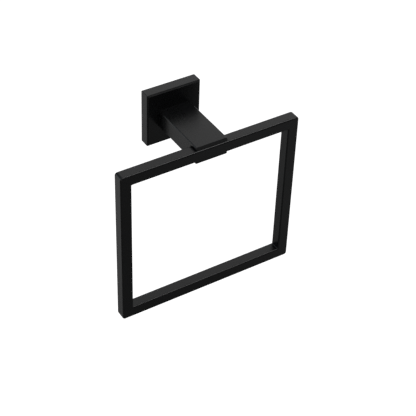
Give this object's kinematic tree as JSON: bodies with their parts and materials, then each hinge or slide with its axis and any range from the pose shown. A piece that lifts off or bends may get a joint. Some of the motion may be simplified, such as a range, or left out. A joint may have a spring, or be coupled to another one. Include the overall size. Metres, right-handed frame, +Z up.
{
  "type": "towel ring",
  "caption": "Square wall-mounted towel ring in matte black: a slotted rectangular post on a square escutcheon holds the top bar of a rectangular ring.",
  "frame": {"origin": "middle of the escutcheon's back, on the wall", "axes": "+X to the right as seen from the room, +Y into the wall, +Z up"},
  "size_m": [0.166, 0.07, 0.17],
  "materials": {
    "black_coat": "matte black powder coat",
    "zinc_plate": "zinc-plated steel",
    "black_steel": "blackened steel"
  },
  "bodies": {
    "root": {"escutcheon": "black_coat", "post": "black_coat", "ring": "black_coat", "wall_bracket": "zinc_plate", "post_screws": "zinc_plate", "bracket_lock_screw": "black_steel", "ring_lock_screw": "black_steel"}
  },
  "joints": []
}
